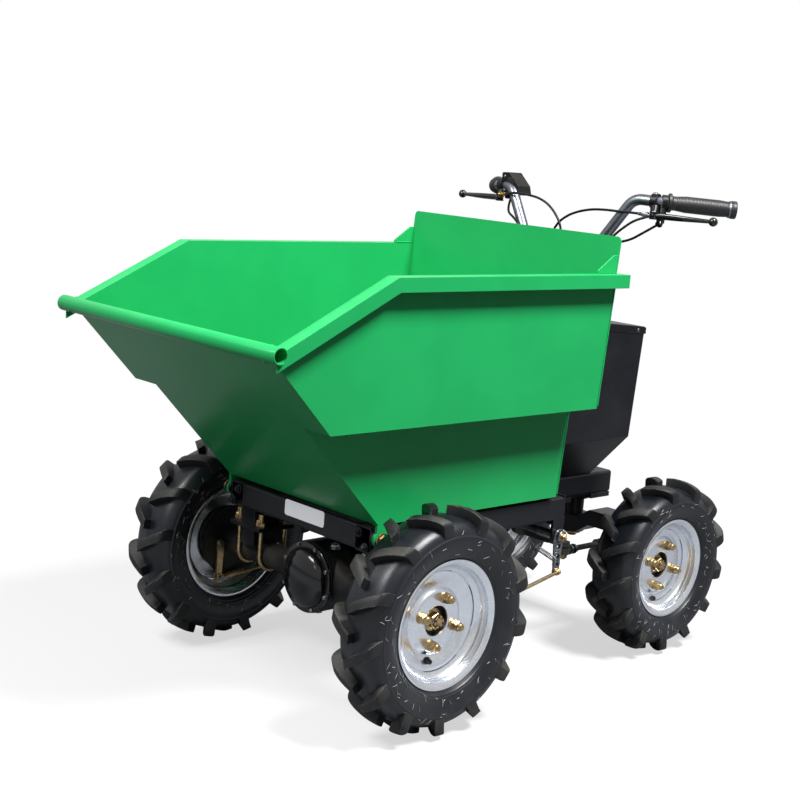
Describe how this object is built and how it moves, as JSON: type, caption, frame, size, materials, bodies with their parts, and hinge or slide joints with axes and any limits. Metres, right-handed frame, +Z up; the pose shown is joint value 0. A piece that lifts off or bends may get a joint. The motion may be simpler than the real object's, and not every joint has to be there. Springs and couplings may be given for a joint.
{
  "type": "site dumper",
  "caption": "Small electric site dumper with a tipping load tub, drive axle under it, a battery box and handlebar steering of the rear axle.",
  "frame": {"origin": "on the ground under the middle of the overall length, on the plane midway between the wheels", "axes": "+X to the machine's left, -Y towards the tub's pouring lip (front), +Z up"},
  "size_m": [0.708, 1.3, 0.9597],
  "materials": {
    "green_paint": "powder coat, semi-gloss",
    "black_paint": "powder coat, satin",
    "black_gloss": "gloss",
    "galvanised": "bright zinc",
    "zinc_plate": "zinc plated",
    "zinc_gold": "yellow passivated zinc",
    "hub_iron": "as cast with plated nuts",
    "bar_steel": "polished tube",
    "tyre_rubber": "matt",
    "rubber": "matt",
    "black_plastic": "fine grain",
    "cable_sleeve": "satin sleeve",
    "black_alloy": "gloss black",
    "battery_plastic": "moulded"
  },
  "bodies": {
    "chassis": {"axle_housing": "black_paint", "diff_cover": "black_gloss", "drive_motor": "black_paint", "brake_backplates": "zinc_plate", "axle_mounts": "black_paint", "u_bolts": "zinc_plate", "side_rail_left": "black_paint", "side_rail_right": "black_paint", "front_cross_member": "black_paint", "rear_cross_member": "black_paint", "spine_frame": "black_paint", "king_plate": "black_paint", "column_bearing": "black_paint", "rest_pads": "rubber", "brake_levers": "zinc_gold", "brake_shaft": "zinc_plate", "brake_cranks": "zinc_plate", "brake_rods": "zinc_gold", "battery_case": "black_paint", "battery_pack": "battery_plastic", "column_collar": "green_paint"},
    "tub_body": {"tub": "green_paint", "tub_rim_left": "green_paint", "tub_rim_right": "green_paint", "lip_tube": "green_paint", "board_gussets": "green_paint", "hinge_ears": "green_paint"},
    "steering": {"steering_column": "bar_steel", "handlebar": "bar_steel", "bar_clamp": "black_paint", "grip_left": "rubber", "grip_right": "rubber", "lever_perch_left": "black_plastic", "lever_perch_right": "black_plastic", "brake_blade_left": "black_alloy", "brake_blade_right": "black_alloy", "throttle_housing": "black_plastic", "bar_switch": "black_plastic", "brake_cable_right": "cable_sleeve", "brake_cable_left": "cable_sleeve", "throttle_cable": "cable_sleeve", "switch_cable": "cable_sleeve", "bar_wire": "cable_sleeve"},
    "link": {"drag_link": "zinc_gold"},
    "rear_axle": {"rear_beam": "black_paint"},
    "wheel_front_left": {"front_tyre_left": "tyre_rubber", "front_rim_left": "galvanised", "front_hub_left": "hub_iron"},
    "wheel_front_right": {"front_tyre_right": "tyre_rubber", "front_rim_right": "galvanised", "front_hub_right": "hub_iron"},
    "wheel_rear_left": {"rear_tyre_left": "tyre_rubber", "rear_rim_left": "galvanised", "rear_hub_left": "hub_iron"},
    "wheel_rear_right": {"rear_tyre_right": "tyre_rubber", "rear_rim_right": "galvanised", "rear_hub_right": "hub_iron"}
  },
  "joints": [
    {"name": "tub_tip", "type": "hinge", "parent": "chassis", "child": "tub_body", "pos_m": [0, -0.311, 0.33], "axis": [1, 0, 0], "range_deg": [0, 70]},
    {"name": "steer", "type": "hinge", "parent": "chassis", "child": "steering", "pos_m": [0, 0.324, 0.45], "axis": [0, 0, 1], "range_deg": [-25, 25]},
    {"name": "rear_axle_swing", "type": "hinge", "parent": "chassis", "child": "rear_axle", "pos_m": [0, 0.468, 0.29], "axis": [0, 0, 1], "range_deg": [-25, 25]},
    {"name": "drag_link_pin", "type": "hinge", "parent": "steering", "child": "link", "pos_m": [0.1, 0.324, 0.196], "axis": [0, 0, 1], "range_deg": [-25, 25]},
    {"name": "front_left_spin", "type": "hinge", "parent": "chassis", "child": "wheel_front_left", "pos_m": [0.302, -0.256, 0.203], "axis": [1, 0, 0], "continuous": true},
    {"name": "front_right_spin", "type": "hinge", "parent": "chassis", "child": "wheel_front_right", "pos_m": [-0.302, -0.256, 0.203], "axis": [1, 0, 0], "continuous": true},
    {"name": "rear_left_spin", "type": "hinge", "parent": "rear_axle", "child": "wheel_rear_left", "pos_m": [0.232, 0.468, 0.182], "axis": [1, 0, 0], "continuous": true},
    {"name": "rear_right_spin", "type": "hinge", "parent": "rear_axle", "child": "wheel_rear_right", "pos_m": [-0.232, 0.468, 0.182], "axis": [1, 0, 0], "continuous": true}
  ],
  "couplings": [
    {"joint": "rear_axle_swing", "follows": "steer", "ratio": 1},
    {"joint": "drag_link_pin", "follows": "steer", "ratio": -1}
  ]
}
